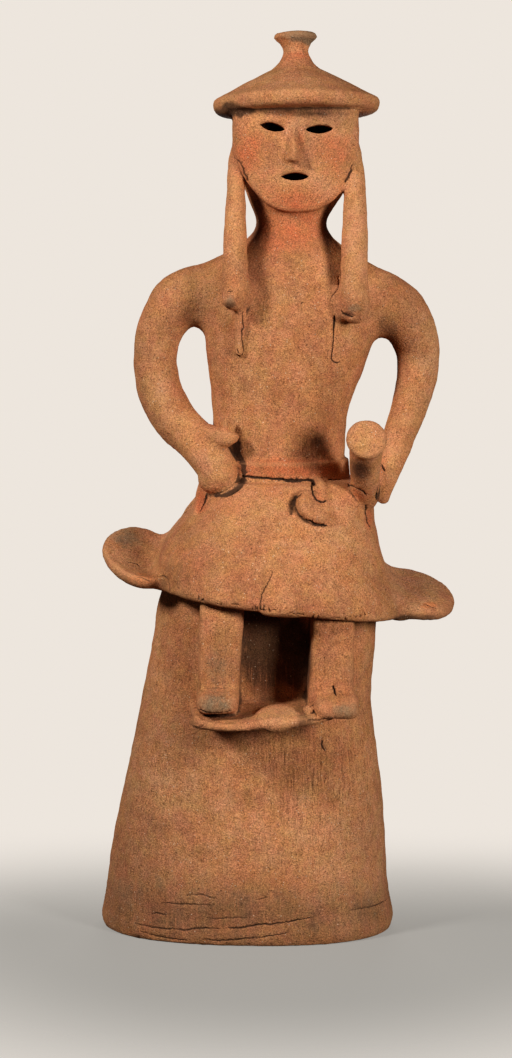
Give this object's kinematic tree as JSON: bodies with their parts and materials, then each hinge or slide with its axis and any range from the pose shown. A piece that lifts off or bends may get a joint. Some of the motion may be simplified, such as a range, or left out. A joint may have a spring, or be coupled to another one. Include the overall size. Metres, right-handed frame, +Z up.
{
  "type": "haniwa figure",
  "caption": "Hollow fired-clay figure in a cone hat, belted coat and sword, seated on a tall flared oval base; stands on the base's open rim.",
  "frame": {"origin": "on the ground, under the middle of the figure's bounding box", "axes": "+Z up along the figure, -Y the way that the figure faces, +X to the right of a viewer who looks at its face"},
  "size_m": [0.4452, 0.3531, 1.1308],
  "materials": {
    "terracotta": "unglazed low-fired terracotta, matt, orange-tan, brushed lengthwise, with red pigment and grey-brown patina"
  },
  "bodies": {
    "root": {"haniwa_figure": "terracotta"}
  },
  "joints": []
}
